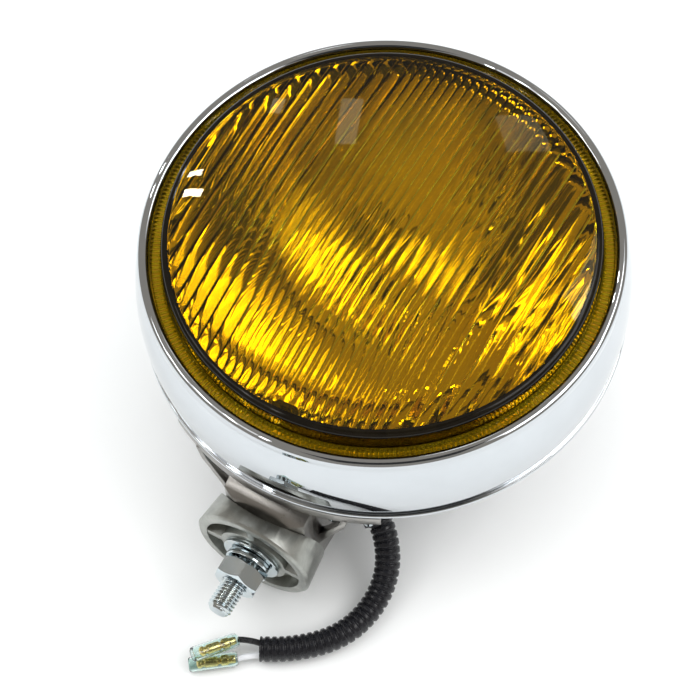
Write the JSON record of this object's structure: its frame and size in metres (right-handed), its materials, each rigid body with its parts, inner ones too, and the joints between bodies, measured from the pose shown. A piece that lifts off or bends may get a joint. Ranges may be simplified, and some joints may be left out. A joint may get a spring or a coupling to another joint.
{
  "type": "fog light",
  "caption": "Round chrome auxiliary driving lamp with a fluted amber lens, a cast pedestal bracket on a threaded stud, and a short corrugated lead with bullet connectors.",
  "frame": {"origin": "on the lens axis, at the middle of the flat back that the lamp lies on", "axes": "+Z along the lens axis, out through the lens; -Y towards the mounting stud, which points down in use, so +Y is up on the vehicle; +X completes the right-handed frame"},
  "size_m": [0.1896, 0.2462, 0.122],
  "materials": {
    "chrome": "mirror-bright chrome plate",
    "shell_chrome": "bright plated pressed steel",
    "amber_glass": "pressed fluted amber glass",
    "clear_glass": "clear quartz",
    "rubber": "black rubber",
    "spring_steel": "spring steel",
    "mirror": "aluminised mirror",
    "zinc_steel": "bright zinc plate with a slight tint",
    "cast_aluminium": "satin die-cast aluminium",
    "brass": "tinned brass",
    "conduit_plastic": "black corrugated polypropylene",
    "wire_black": "black vinyl insulation",
    "wire_white": "white vinyl insulation",
    "sleeve_vinyl": "clear vinyl with a green tint"
  },
  "bodies": {
    "head": {"front_rim": "chrome", "housing_band": "chrome", "rear_shell": "shell_chrome", "lens": "amber_glass", "shield_ring": "rubber", "lens_gasket": "rubber", "lens_clips": "spring_steel", "reflector": "mirror", "bulb_holder": "zinc_steel", "bulb_base": "brass", "bulb_glass": "clear_glass", "bulb_clip": "spring_steel", "feed_wire": "wire_black", "earth_wire": "wire_white", "cable_grommet": "rubber", "bracket": "cast_aluminium", "bracket_screws": "zinc_steel", "bracket_nuts": "zinc_steel", "harness_conduit": "conduit_plastic", "wire_black": "wire_black", "wire_white": "wire_white", "sleeve_upper": "sleeve_vinyl", "sleeve_lower": "sleeve_vinyl", "terminal_upper": "brass", "terminal_lower": "brass"},
    "foot": {"foot": "cast_aluminium", "clamp_bolt": "zinc_steel", "bolt_cradle": "zinc_steel"},
    "washers": {"flat_washer": "zinc_steel", "spring_washer": "zinc_steel"},
    "nut": {"hex_nut": "zinc_steel"}
  },
  "joints": [
    {"name": "foot_lean", "type": "hinge", "parent": "head", "child": "foot", "pos_m": [0, -0.064, 0.0268], "axis": [0, 0, 1], "range_deg": [-8, 8]},
    {"name": "washer_slide", "type": "slide", "parent": "foot", "child": "washers", "axis": [0, -1, 0], "range_m": [0, 0.0121]},
    {"name": "nut_turn", "type": "hinge", "parent": "washers", "child": "nut", "pos_m": [0, -0.1155, 0.0268], "axis": [0, -1, 0], "range_deg": [0, 2880]}
  ],
  "couplings": [
    {"joint": "washer_slide", "follows": "nut_turn", "m_per_rad": 0.00023873}
  ]
}
